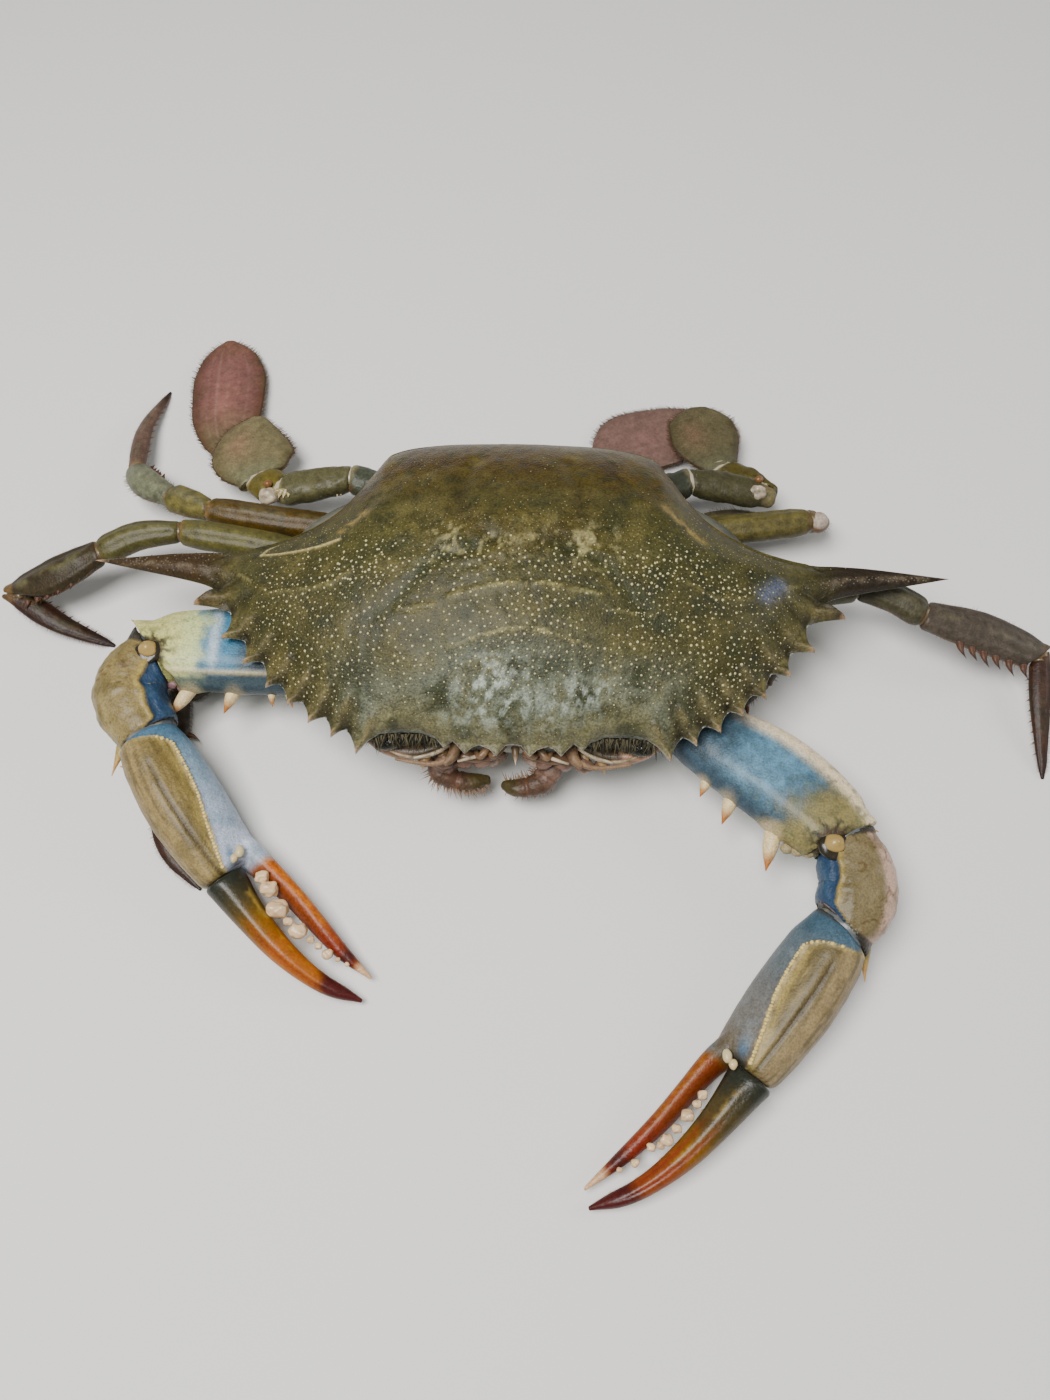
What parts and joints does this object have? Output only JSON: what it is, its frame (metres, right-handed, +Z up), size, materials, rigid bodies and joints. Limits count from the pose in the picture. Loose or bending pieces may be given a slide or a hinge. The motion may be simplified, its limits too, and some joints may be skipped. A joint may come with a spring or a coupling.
{
  "type": "blue crab display model",
  "caption": "Life-size still blue crab for display, resting on its belly with both claws stretched forward, walking legs spread and paddle legs laid back.",
  "frame": {"origin": "on the floor, on the flat underside of the folded tail, under the middle of the shell", "axes": "+Z up, -Y towards the crab's front, +X towards the crab's own left, along its width from spine tip to spine tip"},
  "size_m": [0.2071, 0.1817, 0.0358],
  "materials": {
    "shell_olive": "wet olive-grey shell with fine cream granules",
    "belly_white": "smooth bluish white shell",
    "claw_arm": "glossy steel blue fading to olive yellow",
    "claw_hand": "olive tan back, blue-grey inner face, granulated ridges",
    "finger_orange": "glossy orange-brown with a dark maroon tip",
    "leg_slate": "glossy slate olive with pale joints",
    "paddle_mauve": "smooth mauve-brown with fine veins and a dark rim",
    "mouth_tan": "pale pinkish tan, satin",
    "eye_black": "very glossy black-olive",
    "tooth_ivory": "glossy ivory",
    "joint_membrane": "thin cream membrane, satin",
    "bristle_brown": "stiff red-brown bristles"
  },
  "bodies": {
    "root": {"carapace": "shell_olive", "thorax": "belly_white", "abdomen": "belly_white", "eye_right": "eye_black", "antenna_right": "mouth_tan", "maxilliped_right": "mouth_tan", "claw_right_coxa": "claw_arm", "claw_right_merus": "claw_arm", "claw_right_carpus": "claw_hand", "claw_right_propodus": "claw_hand", "claw_right_dactyl": "finger_orange", "leg2_right_coxa": "leg_slate", "leg2_right_merus": "leg_slate", "leg2_right_carpus": "leg_slate", "leg2_right_propodus": "leg_slate", "leg2_right_dactyl": "leg_slate", "leg3_right_coxa": "leg_slate", "leg3_right_merus": "leg_slate", "leg3_right_carpus": "leg_slate", "leg3_right_propodus": "leg_slate", "leg3_right_dactyl": "leg_slate", "leg4_right_coxa": "leg_slate", "leg4_right_merus": "leg_slate", "leg4_right_carpus": "leg_slate", "leg4_right_propodus": "leg_slate", "leg4_right_dactyl": "leg_slate", "swim_right_coxa": "leg_slate", "swim_right_merus": "leg_slate", "swim_right_carpus": "leg_slate", "swim_right_propodus": "leg_slate", "swim_right_dactyl": "paddle_mauve", "eye_left": "eye_black", "antenna_left": "mouth_tan", "maxilliped_left": "mouth_tan", "claw_left_coxa": "claw_arm", "claw_left_merus": "claw_arm", "claw_left_carpus": "claw_hand", "claw_left_propodus": "claw_hand", "claw_left_dactyl": "finger_orange", "leg2_left_coxa": "leg_slate", "leg2_left_merus": "leg_slate", "leg2_left_carpus": "leg_slate", "leg2_left_propodus": "leg_slate", "leg2_left_dactyl": "leg_slate", "leg3_left_coxa": "leg_slate", "leg3_left_merus": "leg_slate", "leg3_left_carpus": "leg_slate", "leg3_left_propodus": "leg_slate", "leg3_left_dactyl": "leg_slate", "leg4_left_coxa": "leg_slate", "leg4_left_merus": "leg_slate", "leg4_left_carpus": "leg_slate", "leg4_left_propodus": "leg_slate", "leg4_left_dactyl": "leg_slate", "swim_left_coxa": "leg_slate", "swim_left_merus": "leg_slate", "swim_left_carpus": "leg_slate", "swim_left_propodus": "leg_slate", "swim_left_dactyl": "paddle_mauve"}
  },
  "joints": []
}
